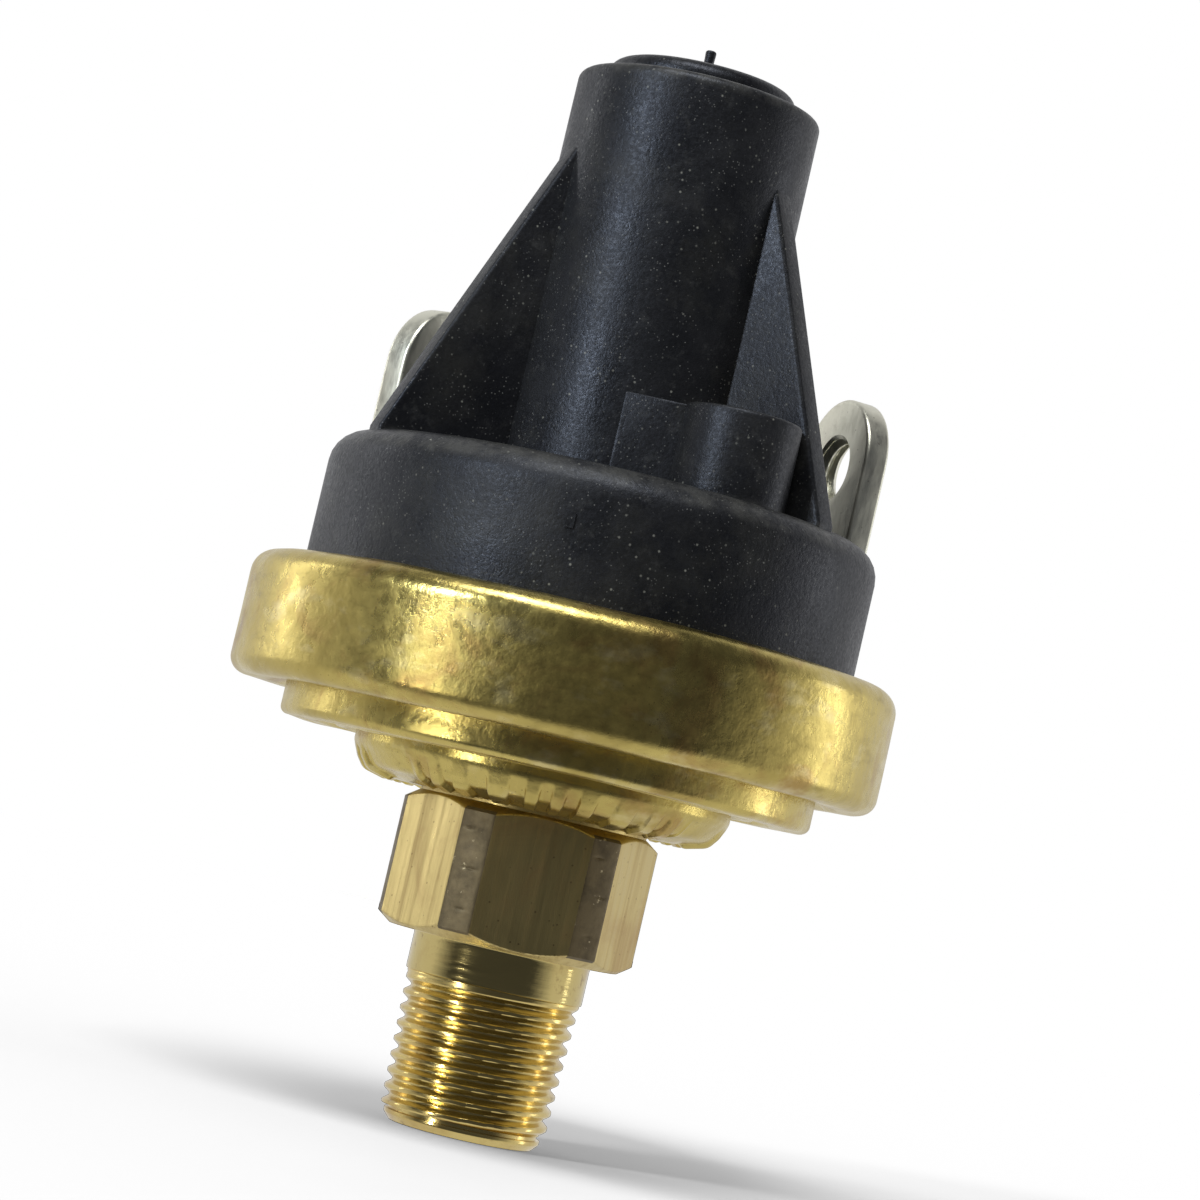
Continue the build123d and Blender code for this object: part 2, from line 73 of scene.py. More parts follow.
# ---------------------------------------------------------------- node helpers
class Shader:
    """A material made of nodes around one principled shader."""

    def __init__(self, name, color, metallic, roughness, **sockets):
        self.mat = bpy.data.materials.new(name)
        self.mat.use_nodes = True
        self.tree = self.mat.node_tree
        self.bsdf = self.tree.nodes["Principled BSDF"]
        self.bsdf.inputs["Base Color"].default_value = (*color, 1)
        self.bsdf.inputs["Metallic"].default_value = metallic
        self.bsdf.inputs["Roughness"].default_value = roughness
        for key, value in sockets.items():
            self.bsdf.inputs[key.replace("_", " ")].default_value = value
        self.coords = self.tree.nodes.new("ShaderNodeTexCoord").outputs["Object"]
        self.height = None

    def node(self, kind, **settings):
        made = self.tree.nodes.new(kind)
        for key, value in settings.items():
            setattr(made, key, value)
        return made

    def mapped(self, scale):
        made = self.node("ShaderNodeMapping")
        made.inputs["Scale"].default_value = scale
        self.tree.links.new(self.coords, made.inputs["Vector"])
        return made.outputs["Vector"]

    def noise(self, scale, detail=4.0, rough=0.55, stretch=(1, 1, 1), distortion=0.0):
        made = self.node("ShaderNodeTexNoise")
        made.inputs["Scale"].default_value = scale
        made.inputs["Detail"].default_value = detail
        made.inputs["Roughness"].default_value = rough
        made.inputs["Distortion"].default_value = distortion
        self.tree.links.new(self.mapped(stretch), made.inputs["Vector"])
        return made.outputs["Fac"]

    def cells(self, scale, feature="F1", stretch=(1, 1, 1)):
        made = self.node("ShaderNodeTexVoronoi", feature=feature)
        made.inputs["Scale"].default_value = scale
        self.tree.links.new(self.mapped(stretch), made.inputs["Vector"])
        return made.outputs["Distance"]

    def ramp(self, value, low, high, start=0.0, end=1.0):
        made = self.node("ShaderNodeMapRange", clamp=True)
        made.inputs["From Min"].default_value = low
        made.inputs["From Max"].default_value = high
        made.inputs["To Min"].default_value = start
        made.inputs["To Max"].default_value = end
        self.tree.links.new(value, made.inputs["Value"])
        return made.outputs["Result"]

    def math(self, operation, a, b):
        made = self.node("ShaderNodeMath", operation=operation)
        for socket, value in zip(made.inputs, (a, b)):
            if isinstance(value, (int, float)):
                socket.default_value = value
            else:
                self.tree.links.new(value, socket)
        return made.outputs["Value"]

    def tint(self, mask, color):
        """Mixes a colour over what the base colour is so far, where the mask is 1."""
        made = self.node("ShaderNodeMix", data_type="RGBA")
        base = self.bsdf.inputs["Base Color"]
        if base.is_linked:
            self.tree.links.new(base.links[0].from_socket, made.inputs["A"])
        else:
            made.inputs["A"].default_value = base.default_value[:]
        made.inputs["B"].default_value = (*color, 1)
        self.tree.links.new(mask, made.inputs["Factor"])
        self.tree.links.new(made.outputs["Result"], base)

    def rough(self, value):
        self.tree.links.new(value, self.bsdf.inputs["Roughness"])

    def bump(self, value, distance, strength=1.0):
        made = self.node("ShaderNodeBump")
        made.inputs["Distance"].default_value = distance * MM
        made.inputs["Strength"].default_value = strength
        self.tree.links.new(value, made.inputs["Height"])
        normal = self.bsdf.inputs["Normal"]
        if normal.is_linked:
            self.tree.links.new(normal.links[0].from_socket, made.inputs["Normal"])
        self.tree.links.new(made.outputs["Normal"], normal)

    def separate_z(self):
        made = self.node("ShaderNodeSeparateXYZ")
        self.tree.links.new(self.coords, made.inputs["Vector"])
        return made.outputs["Z"]


# ---------------------------------------------------------------- materials
def brass_shell():
    s = Shader("brass_shell", (0.60, 0.48, 0.15), 1.0, 0.3)
    patch = s.noise(95, 5, 0.62, distortion=0.8)
    s.tint(s.ramp(patch, 0.44, 0.66, 0, 0.8), (0.44, 0.34, 0.10))
    stain = s.noise(230, 6, 0.65, distortion=0.6)
    s.tint(s.ramp(stain, 0.52, 0.68, 0, 0.7), (0.38, 0.23, 0.08))
    streak = s.noise(420, 5, 0.6, stretch=(1, 1, 2.6))
    s.tint(s.ramp(streak, 0.54, 0.72, 0, 0.45), (0.26, 0.20, 0.06))
    pale = s.noise(300, 4, 0.6, stretch=(1, 1, 1.8))
    s.tint(s.ramp(pale, 0.56, 0.72, 0, 0.5), (0.76, 0.66, 0.36))
    fleck = s.math("MULTIPLY", s.ramp(s.cells(2600), 0.16, 0.06), s.ramp(s.noise(350, 4, 0.6), 0.45, 0.6))
    s.tint(s.math("MULTIPLY", fleck, 0.6), (0.14, 0.09, 0.03))
    peel = s.noise(1150, 5, 0.62)
    s.rough(s.math("ADD", s.ramp(patch, 0.35, 0.7, 0.22, 0.36), s.ramp(peel, 0.3, 0.7, -0.05, 0.08)))
    s.bump(peel, 0.09, 0.5)
    s.bump(s.noise(260, 2, 0.5), 0.16, 0.3)
    scratch = s.noise(900, 2, 0.5, stretch=(1, 1, 0.03))
    s.bump(s.ramp(scratch, 0.66, 0.72), 0.015, 0.5)
    return s.mat


def brass_hex():
    s = Shader("brass_hexagon", (0.58, 0.46, 0.19), 1.0, 0.34)
    draw = s.noise(1400, 5, 0.7, stretch=(1, 1, 0.035))
    s.tint(s.ramp(draw, 0.48, 0.70, 0, 0.6), (0.36, 0.25, 0.10))
    patch = s.noise(220, 5, 0.6, distortion=0.8)
    s.tint(s.ramp(patch, 0.52, 0.72, 0, 0.6), (0.42, 0.28, 0.12))
    fleck = s.cells(1500)
    s.tint(s.ramp(fleck, 0.12, 0.05, 0, 0.6), (0.14, 0.08, 0.03))
    s.rough(s.math("ADD", s.ramp(draw, 0.3, 0.7, 0.28, 0.5), s.ramp(patch, 0.3, 0.7, -0.05, 0.05)))
    s.bump(draw, 0.04, 0.6)
    s.bump(s.noise(700, 4, 0.6), 0.04, 0.3)
    return s.mat


def brass_land():
    """The turned corners of the hexagon: a painted dark reflection, dark brown and half metallic, with painted glints
    as pale specks.
    """
    # Painted dark reflection: the dark brown base colour stands in for the dark room that these brass corners mirror.
    s = Shader("brass_land", (0.17, 0.13, 0.065), 0.55, 0.5)
    s.tint(s.ramp(s.noise(600, 5, 0.7), 0.45, 0.7, 0, 0.8), (0.07, 0.052, 0.026))
    # Painted glints: small pale brass specks on the dark corners.
    s.tint(s.ramp(s.noise(1500, 4, 0.7), 0.64, 0.72, 0, 0.9), (0.78, 0.66, 0.40))
    s.rough(s.ramp(s.noise(900, 4, 0.6), 0.3, 0.7, 0.38, 0.6))
    s.bump(s.noise(1300, 4, 0.6), 0.06, 0.4)
    return s.mat


def brass_thread(name, color, smooth, dull):
    s = Shader(name, color, 1.0, 0.2)
    tool = s.noise(2600, 3, 0.6, stretch=(0.08, 0.08, 1))
    s.tint(s.ramp(s.noise(300, 5, 0.6), 0.5, 0.72, 0, 0.7), (0.44, 0.29, 0.10))
    s.tint(s.ramp(s.noise(900, 5, 0.7), 0.60, 0.72, 0, 0.6), (0.22, 0.13, 0.05))
    s.rough(s.ramp(tool, 0.3, 0.7, smooth, dull))
    s.bump(tool, 0.02, 0.6)
    s.bump(s.noise(1300, 3, 0.5), 0.03, 0.3)
    return s.mat


def turned_brass(name="turned_brass", color=(0.72, 0.57, 0.27)):
    s = Shader(name, color, 1.0, 0.26)
    lathe_marks = s.noise(2200, 2, 0.5, stretch=(0.1, 0.1, 1))
    s.rough(s.ramp(lathe_marks, 0.3, 0.7, 0.18, 0.36))
    s.tint(s.ramp(s.noise(400, 4, 0.6), 0.5, 0.75, 0, 0.5), (0.5, 0.35, 0.14))
    s.bump(lathe_marks, 0.015, 0.5)
    return s.mat


def moulding(name, color, roughness, dust_and_edge_sheen):
    """Black phenolic moulding: mottled, with pale dust and a grainy, bluish gloss, and lighter grey bands at the
    deck's and tower's top edges that are part dust and rubbed wear, part painted highlight.
    """
    s = Shader(name, color, 0.0, roughness, IOR=1.45, Specular_Tint=(0.80, 0.86, 1.0, 1.0),
               Specular_IOR_Level=0.38)
    mottle = s.noise(150, 6, 0.62, distortion=0.4)
    s.tint(s.ramp(mottle, 0.42, 0.66, 0, 0.8), (0.014, 0.014, 0.014))
    haze = s.noise(85, 7, 0.7)
    s.tint(s.ramp(haze, 0.50, 0.66, 0, dust_and_edge_sheen * 0.5), (0.034, 0.033, 0.026))
    speck = s.cells(1500)
    near = s.math("MULTIPLY", s.ramp(speck, 0.14, 0.04), s.ramp(s.noise(330, 4, 0.6), 0.44, 0.62))
    s.tint(s.math("MULTIPLY", near, dust_and_edge_sheen), (0.20, 0.20, 0.17))
    grain = s.cells(3800)
    fine = s.math("MULTIPLY", s.ramp(grain, 0.20, 0.06), s.ramp(s.noise(420, 3, 0.6), 0.40, 0.58))
    s.tint(s.math("MULTIPLY", fine, dust_and_edge_sheen), (0.13, 0.13, 0.12))
    blotch = s.noise(900, 6, 0.75)
    s.tint(s.ramp(blotch, 0.56, 0.70, 0, dust_and_edge_sheen * 0.4), (0.050, 0.050, 0.046))
    height = s.separate_z()
    patchy = s.ramp(s.noise(520, 5, 0.7), 0.40, 0.62)
    # Painted highlight together with rubbed wear and dust: a lighter grey band at the deck's top edge and one at the
    # tower's top edge.
    for low, high in ((0.0270, 0.0279), (0.0522, 0.0525)):
        band = s.math("MULTIPLY", s.ramp(height, low - 0.0004, low), s.ramp(height, high + 0.0004, high))
        s.tint(s.math("MULTIPLY", s.math("MULTIPLY", band, patchy), dust_and_edge_sheen * 0.45), (0.085, 0.083, 0.072))
    sparkle = s.noise(4600, 2, 0.7)
    s.rough(s.math("ADD", s.ramp(mottle, 0.3, 0.7, roughness - 0.08, roughness + 0.1),
                   s.ramp(sparkle, 0.35, 0.65, -0.08, 0.08)))
    s.bump(sparkle, 0.03, 0.9)
    s.bump(s.noise(1500, 4, 0.6), 0.05, 0.5)
    s.bump(s.noise(240, 3, 0.5), 0.12, 0.25)
    return s.mat


def tin_plate():
    s = Shader("tin_plate", (0.78, 0.77, 0.64), 1.0, 0.34)
    cloud = s.noise(260, 5, 0.6, distortion=0.5)
    s.tint(s.ramp(cloud, 0.48, 0.72, 0, 0.6), (0.62, 0.58, 0.48))
    s.tint(s.ramp(s.cells(1300), 0.11, 0.04, 0, 0.6), (0.25, 0.22, 0.17))
    brushed = s.noise(2200, 3, 0.6, stretch=(1, 1, 0.3))
    s.rough(s.ramp(brushed, 0.3, 0.7, 0.30, 0.48))
    s.bump(brushed, 0.02, 0.4)
    s.bump(s.noise(900, 3, 0.6), 0.05, 0.3)
    return s.mat


def plain(name, color, metallic, roughness, grain=1200):
    s = Shader(name, color, metallic, roughness)
    value = s.noise(grain, 4, 0.6)
    s.tint(s.ramp(value, 0.45, 0.75, 0, 0.6), tuple(c * 0.6 for c in color))
    s.rough(s.ramp(value, 0.3, 0.7, max(0.05, roughness - 0.08), min(1, roughness + 0.1)))
    s.bump(value, 0.03, 0.4)
    return s.mat


M_SHELL = brass_shell()
M_HEX = brass_hex()
M_LAND = brass_land()
M_THREAD = brass_thread("brass_thread", (0.68, 0.53, 0.20), 0.12, 0.30)
M_COLLAR = brass_thread("brass_collar", (0.62, 0.50, 0.20), 0.07, 0.20)
M_TURNED = turned_brass()
M_BLACK = moulding("black_moulding", (0.0062, 0.0064, 0.0070), 0.40, 0.9)
M_PLUG = moulding("black_plug", (0.006, 0.006, 0.007), 0.38, 0.5)
M_TIN = tin_plate()
M_SILVER = plain("silver_contact", (0.85, 0.85, 0.83), 1.0, 0.22)
M_SPRING = plain("spring_steel", (0.46, 0.46, 0.47), 1.0, 0.3)
M_STEEL = plain("pressed_steel", (0.55, 0.55, 0.54), 1.0, 0.35)
M_RUBBER = plain("nitrile_rubber", (0.02, 0.02, 0.02), 0.0, 0.6)
M_SHEET = plain("diaphragm_sheet", (0.42, 0.22, 0.06), 0.0, 0.3)
M_PALE = plain("natural_resin", (0.66, 0.62, 0.52), 0.0, 0.45)
M_SINTER = plain("sintered_bronze", (0.36, 0.26, 0.13), 1.0, 0.55, 3500)


# ---------------------------------------------------------------- mesh helpers
def rounded(points, radii, steps=6):
    """Closed (radius, height) outline with each corner rounded; a radius of 0 keeps the corner."""
    if not isinstance(radii, (list, tuple)):
        radii = [radii] * len(points)
    out = []
    count = len(points)
    for i, corner in enumerate(points):
        p = Vector(corner)
        before, after = Vector(points[i - 1]) - p, Vector(points[(i + 1) % count]) - p
        if radii[i] <= 0 or before.length < 1e-9 or after.length < 1e-9:
            out.append((p.x, p.y))
            continue
        half = before.angle(after) / 2
        if half > math.pi / 2 - 0.02:
            out.append((p.x, p.y))
            continue
        cut = min(radii[i] / math.tan(half), before.length * 0.49, after.length * 0.49)
        radius = cut * math.tan(half)
        a, b = p + before.normalized() * cut, p + after.normalized() * cut
        centre = p + (before.normalized() + after.normalized()).normalized() * (radius / math.sin(half))
        start, end = a - centre, b - centre
        sweep = start.angle_signed(end)
        for k in range(steps + 1):
            out.append(tuple(centre + Matrix.Rotation(-sweep * k / steps, 2) @ start))
    return out


def build(name, verts, faces, *materials, sharp=35):
    mesh = bpy.data.meshes.new(name)
    mesh.from_pydata([tuple(v) for v in np.asarray(verts, float) * MM], [], faces)
    mesh.validate()
    work = bmesh.new()
    work.from_mesh(mesh)
    bmesh.ops.recalc_face_normals(work, faces=work.faces)
    work.to_mesh(mesh)
    work.free()
    mesh.shade_smooth()
    mesh.set_sharp_from_angle(angle=math.radians(sharp))
    obj = bpy.data.objects.new(name, mesh)
    bpy.context.scene.collection.objects.link(obj)
    for material in materials:
        mesh.materials.append(material)
    return obj


def grid(name, rows, angles, *materials, sharp=35, closed=True):
    """Skins rows of (radius, height), numbers or arrays over the angles, into one closed solid."""
    count = len(angles)
    cos, sin = np.cos(angles), np.sin(angles)
    verts, starts = [], []
    for radius, height in rows:
        radius = np.broadcast_to(np.asarray(radius, float), count)
        height = np.broadcast_to(np.asarray(height, float), count)
        if radius.max() < 1e-6:
            starts.append((len(verts), 1))
            verts.append((0, 0, float(height[0])))
        else:
            starts.append((len(verts), count))
            verts.extend(np.stack([radius * cos, radius * sin, height], 1).tolist())
    faces = []
    pairs = list(zip(starts, starts[1:])) + ([(starts[-1], starts[0])] if closed else [])
    for (a, na), (b, nb) in pairs:
        if na == 1 and nb == 1:
            continue
        for k in range(count):
            n = (k + 1) % count
            if na == 1:
                faces.append((a, b + n, b + k))
            elif nb == 1:
                faces.append((a + k, a + n, b))
            else:
                faces.append((a + k, a + n, b + n, b + k))
    return build(name, verts, faces, *materials, sharp=sharp)


def evenly(count):
    return np.arange(count) * TAU / count


def lathe(name, points, radii, material, segments=160, steps=5, sharp=35):
    return grid(name, rounded(points, radii, steps), evenly(segments), material, sharp=sharp)


def ring_profile(outer, inner, low, high):
    return [(inner, low), (outer, low), (outer, high), (inner, high)]


def coil(name, mean_r, wire_r, low, high, turns, material, dead=0.8, split=None):
    """A compression spring with closed, ground ends, cut at the split height into two pieces if given."""
    total = turns + 2 * dead
    steps = int(total * 40)
    t = np.linspace(0, total, steps)
    span = (high - low) - 2 * wire_r
    dead_rise = wire_r * 1.6 * dead
    rise = np.interp(t, [0, dead, total - dead, total], [0, dead_rise, span - dead_rise, span])
    kernel = np.ones(11) / 11
    rise = np.convolve(np.pad(rise, 5, mode="edge"), kernel, "valid")
    centre = np.stack([mean_r * np.cos(TAU * t), mean_r * np.sin(TAU * t), low + wire_r + rise], 1)
    tangent = np.gradient(centre, axis=0)
    tangent /= np.linalg.norm(tangent, axis=1)[:, None]
    outward = centre * (1, 1, 0) / mean_r
    side = np.cross(tangent, outward)
    around = evenly(WIRE_SIDES)
    verts = []
    for c, o, s in zip(centre, outward, side):
        verts.extend(c + wire_r * (math.cos(a) * o + math.sin(a) * s) for a in around)
    verts = np.array(verts)
    verts[:, 2] = np.clip(verts[:, 2], low + wire_r * 0.25, high - wire_r * 0.25)
    spans = [(0, steps - 1)]
    if split:
        cut = int(np.argmax(centre[:, 2] >= split))
        spans = [(0, cut), (cut, steps - 1)]
    pieces = []
    for number, (first, last) in enumerate(spans):
        count = last - first + 1
        faces = [tuple(range(WIRE_SIDES))[::-1],
                 tuple(range(WIRE_SIDES * (count - 1), WIRE_SIDES * count))]
        for i in range(count - 1):
            here, above = WIRE_SIDES * i, WIRE_SIDES * (i + 1)
            for k in range(WIRE_SIDES):
                n = (k + 1) % WIRE_SIDES
                faces.append((here + k, here + n, above + n, above + k))
        label = name if not split else f"{name}_{number + 1}"
        points = verts[WIRE_SIDES * first:WIRE_SIDES * (last + 1)]
        pieces.append(build(label, points, faces, material, sharp=50))
    return pieces


def apply_modifiers(obj):
    graph = bpy.context.evaluated_depsgraph_get()
    mesh = bpy.data.meshes.new_from_object(obj.evaluated_get(graph))
    old = obj.data
    obj.modifiers.clear()
    obj.data = mesh
    bpy.data.meshes.remove(old)
    return obj


def combine(obj, other, operation):
    made = obj.modifiers.new("combine", "BOOLEAN")
    made.operation = operation
    made.object = other
    made.solver = "EXACT"
    apply_modifiers(obj)
    bpy.data.objects.remove(other)
    return obj


def bevel(obj, width, segments=3, angle=35):
    made = obj.modifiers.new("bevel", "BEVEL")
    made.width = width * MM
    made.segments = segments
    made.limit_method = "ANGLE"
    made.angle_limit = math.radians(angle)
    return apply_modifiers(obj)


def finish_mesh(obj, sharp=35):
    obj.data.shade_smooth()
    obj.data.set_sharp_from_angle(angle=math.radians(sharp))
    return obj


def prism(name, outline, thickness, material):
    """A plate from an (x, z) outline, centred on y = 0."""
    half = thickness / 2
    count = len(outline)
    verts = [(x, -half, z) for x, z in outline] + [(x, half, z) for x, z in outline]
    faces = [tuple(range(count)), tuple(range(2 * count - 1, count - 1, -1))]
    faces += [(k, (k + 1) % count, count + (k + 1) % count, count + k) for k in range(count)]
    return build(name, verts, faces, material)


def place(obj, matrix):
    obj.data.transform(matrix)
    return obj


def settle(obj, body, *nodes, slot=None):
    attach(obj, body)
    if nodes:
        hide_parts(*nodes)
    return obj


def wobble(x, y, z, size, seed):
    """Smooth, repeatable unevenness of about the given height."""
    rng = np.random.default_rng(seed)
    total = np.zeros_like(x)
    for _ in range(7):
        k = rng.normal(0, 0.45, 3)
        total = total + np.sin(k[0] * x + k[1] * y + k[2] * z + rng.uniform(0, TAU))
    return total * size / 4


def roughen(obj, size, seed, keep=None):
    """Moves the skin in and out by a few hundredths, as a pressed or moulded skin has."""
    mesh = obj.data
    count = len(mesh.vertices)
    co = np.empty(count * 3)
    normal = np.empty(count * 3)
    mesh.vertices.foreach_get("co", co)
    mesh.vertices.foreach_get("normal", normal)
    co, normal = co.reshape(-1, 3), normal.reshape(-1, 3)
    x, y, z = (co / MM).T
    shift = wobble(x, y, z, size, seed) * MM
    if keep is not None:
        shift = shift * keep(x, y, z)
    mesh.vertices.foreach_set("co", (co + normal * shift[:, None]).ravel())
    mesh.update()
    return obj


# ---------------------------------------------------------------- port fitting
PITCH = 25.4 / 27
THREAD_TOP, THREAD_END = -2.4, -11.3
FACE_ANGLE = math.radians(-77.6)
APOTHEM, CORNER_R = 7.145, 7.75


def hex_radius(angles):
    within = (angles - FACE_ANGLE + TAU / 12) % (TAU / 6) - TAU / 12
    return APOTHEM / np.cos(within)


def soft_min(a, b, k=0.05):
    h = np.clip(0.5 + 0.5 * (b - a) / k, 0, 1)
    return b + (a - b) * h - k * h * (1 - h)


def thread_radius(angles, z):
    """Worn 60 degree thread; a plain lead ring is left at its end, behind a fine undercut."""
    crest = 5.25 - (THREAD_TOP - z) / 32
    phase = ((z - THREAD_TOP) / PITCH - angles / TAU) % 1.0
    flank = np.clip(np.abs(phase - 0.5) * 2, 0.12, 0.80)
    form = (flank - 0.12) / 0.68
    form = form * form * (3 - 2 * form) * 0.35 + form * 0.65
    fade = np.clip((THREAD_TOP - 0.1 - z) / 0.5, 0, 1)
    radius = crest - 0.38 * (1 - form) * fade - 0.02
    above_end = z - THREAD_END
    if above_end < 0.62:
        return np.full_like(angles, min(4.72, 4.35 + above_end * 0.93))
    if above_end < 0.86:
        return np.minimum(radius, 4.50)
    return radius


def nicks(angles, z):
    """Small wrench and drawing nicks across the rounded hexagon corners."""
    depth = np.zeros_like(angles)
    for k in range(6):
        corner = FACE_ANGLE + (k + 0.5) * TAU / 6
        away = (angles - corner + math.pi) % TAU - math.pi
        for n, (level, size) in enumerate(((1.9, 0.7), (4.0, 1.0), (6.2, 0.8))):
            spot = away - 0.05 * math.sin(5.1 * k + 2.3 * n)
            above = z - level - 0.3 * math.sin(3.7 * k + n)
            near = np.exp(-((spot / (0.05 * size)) ** 2) - ((above / 0.07) ** 2))
            depth += 0.08 * size * near
    return depth


def port_fitting():
    land = math.acos(APOTHEM / CORNER_R)
    extra = [FACE_ANGLE + k * TAU / 6 + s * (land + d)
             for k in range(6) for s in (-1, 1) for d in (-0.006, 0, 0.006)]
    angles = np.unique(np.round(np.concatenate([evenly(420), np.mod(extra, TAU)]), 5))
    rows = [(1.6, THREAD_END + 0.4), (2.0, THREAD_END), (4.30, THREAD_END)]
    count = int((THREAD_TOP - THREAD_END) / PITCH * 20)
    for z in np.linspace(THREAD_END, THREAD_TOP - 0.02, count):
        rows.append((thread_radius(angles, z), z))
    rows += [(5.22, THREAD_TOP), (5.33, THREAD_TOP + 0.05), (5.35, THREAD_TOP + 0.15), (5.35, -0.25)]
    rows += [(5.38, -0.12), (5.45, -0.04), (5.55, 0)]
    rows += [(6.9, 0)]
    hexagon = hex_radius(angles)
    spans = [(0.0, 0.62, 14), (0.7, 7.4, 110), (7.48, 8.1, 14)]
    for z in np.concatenate([np.linspace(*span) for span in spans]):
        turned = 6.95 + min(1.0, min(z, 8.1 - z) / 0.57) * 0.8
        rows.append((soft_min(hexagon, turned - nicks(angles, z)), z))
    rows += [(6.9, 8.12), (6.9, 8.3), (4.6, 8.3), (4.6, 9.1), (6.15, 9.1), (6.2, 9.16), (6.1, 9.4), (5.6, 9.9)]
    rows += [(2.6, 9.9), (2.4, 9.75), (2.4, 6.5), (1.6, 6.5)]
    obj = grid("port_fitting_visual", rows, angles, M_HEX, M_THREAD, M_LAND, M_COLLAR, sharp=28)
    for polygon in obj.data.polygons:
        x, y, z = polygon.center / MM
        r = math.hypot(x, y)
        corner = (math.atan2(y, x) - FACE_ANGLE) % (TAU / 6)
        if z > 0.001 and r > 5.6:
            on_land = abs(corner - TAU / 12) < TAU / 12 - land + 0.004 and 0.45 < z < 7.7
            polygon.material_index = 2 if on_land else 0
        else:
            polygon.material_index = 3 if -2.35 < z < -0.001 and r > 5.3 else 1
    return settle(obj, "switch", "port_fitting", slot="brass_fitting")


port_fitting()
snubber = lathe("orifice_snubber_visual", ring_profile(2.39, 0.4, 6.5, 9.7), 0.15, M_TURNED, 96)
settle(snubber, "switch", "orifice_snubber", slot="brass_fitting")


# ---------------------------------------------------------------- shell
def profile_side(r, z):
    """True on the outer skin of the centre plate, false on its inner skin."""
    return z < 8.3 + np.interp(r, [8.6, 10.6, 11.5], [0.0, 0.5, 1.7]) + 0.15


def pressure_shell():
    outline = [
        (4.62, 8.3), (8.6, 8.3), (10.6, 8.8), (11.5, 10.0), (11.5, 10.85), (12.0, 10.85), (12.3, 10.6),
        (12.7, 10.6), (13.05, 11.0), (13.75, 11.0), (14.1, 10.6), (14.8, 10.6), (15.0, 10.75), (15.2, 10.6),
        (16.2, 10.6), (16.2, 12.75), (16.9, 12.75), (17.6, 12.4), (19.75, 12.4), (19.75, 19.95), (16.85, 19.95),
        (16.85, 19.15), (18.95, 19.15), (18.95, 13.2), (15.4, 13.2), (15.4, 11.4), (10.7, 11.4), (10.7, 9.1),
        (4.62, 9.1),
    ]
    radii = [0.05, 1.4, 0.9, 0.8, 0.1, 0.15, 0.15, 0.2, 0.2, 0.2, 0.2, 0.1, 0.1, 0.1, 0.95, 0.15, 0.3, 0.3, 1.9,
             2.8, 0, 0, 2.0, 0.5, 0.2, 0.8, 0.2, 1.2, 0.05]
    profile = rounded(outline, radii, 9)
    dense = []
    for i, a in enumerate(profile):
        b = profile[(i + 1) % len(profile)]
        length = math.dist(a, b)
        outside = min(a[1], b[1]) < 10.2 and min(a[0], b[0]) > 8.0 and max(a[1], b[1]) > 8.25 or min(a[0], b[0]) > 19.6
        parts = max(1, int(length / 0.11)) if outside else max(1, int(length / 0.6))
        dense += [(a[0] + (b[0] - a[0]) * k / parts, a[1] + (b[1] - a[1]) * k / parts) for k in range(parts)]
    angles = evenly(720)
    rows = []
    for r, z in dense:
        height = np.full_like(angles, z)
        if z < 10.1 and 8.9 < r < 11.45 and profile_side(r, z):
            within = np.clip(min(r - 8.9, 11.45 - r) / 0.35, 0, 1)
            bars = np.clip((np.sin(angles * 36 + 1.1 * np.sin(angles * 9)) + 0.2) / 0.3, 0, 1)
            gaps = np.clip((np.abs(np.sin(angles * 1.5 + 0.5)) - 0.3) / 0.06, 0, 1)
            height = height - 0.3 * within * bars * gaps
        if 10.55 < z < 10.9 and 11.55 < r < 12.7:
            for centre in (math.radians(-86 - 62), math.radians(-86 + 62)):
                arc = 12.3 * np.abs((angles - centre + math.pi) % TAU - math.pi)
                height = height + 0.4 * np.exp(-((arc / 0.5) ** 2) - (((r - 12.4) / 0.35) ** 2))
        rows.append((r, height))
    obj = grid("pressure_shell_visual", rows, angles, M_SHELL, sharp=40)
    roughen(obj, 0.045, 11, lambda x, y, z: np.clip((np.hypot(x, y) - 7) / 3, 0, 1) * (z > 0))
    return settle(obj, "switch", "pressure_shell", slot="brass_shell")


pressure_shell()

# ---------------------------------------------------------------- diaphragm stack
gasket = lathe("seal_gasket_visual", ring_profile(18.3, 15.9, 13.2, 13.7), 0.1, M_RUBBER)
settle(gasket, "switch", "seal_gasket", slot="black_rubber")
sheet_profile = [(0, 14.9), (9.4, 14.9), (13.2, 13.7), (18.3, 13.7),
                 (18.3, 14.0), (13.3, 14.0), (9.5, 15.2), (0, 15.2)]
membrane = lathe("diaphragm_visual", sheet_profile, [0, 1.2, 1.2, 0.05, 0.05, 1.0, 1.0, 0], M_SHEET, 192, 8)
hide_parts("diaphragm")
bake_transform(membrane)
clamp = lathe("clamp_ring_visual", ring_profile(18.3, 14.2, 14.0, 14.8), 0.2, M_STEEL)
settle(clamp, "switch", "clamp_ring", slot="plain_steel")

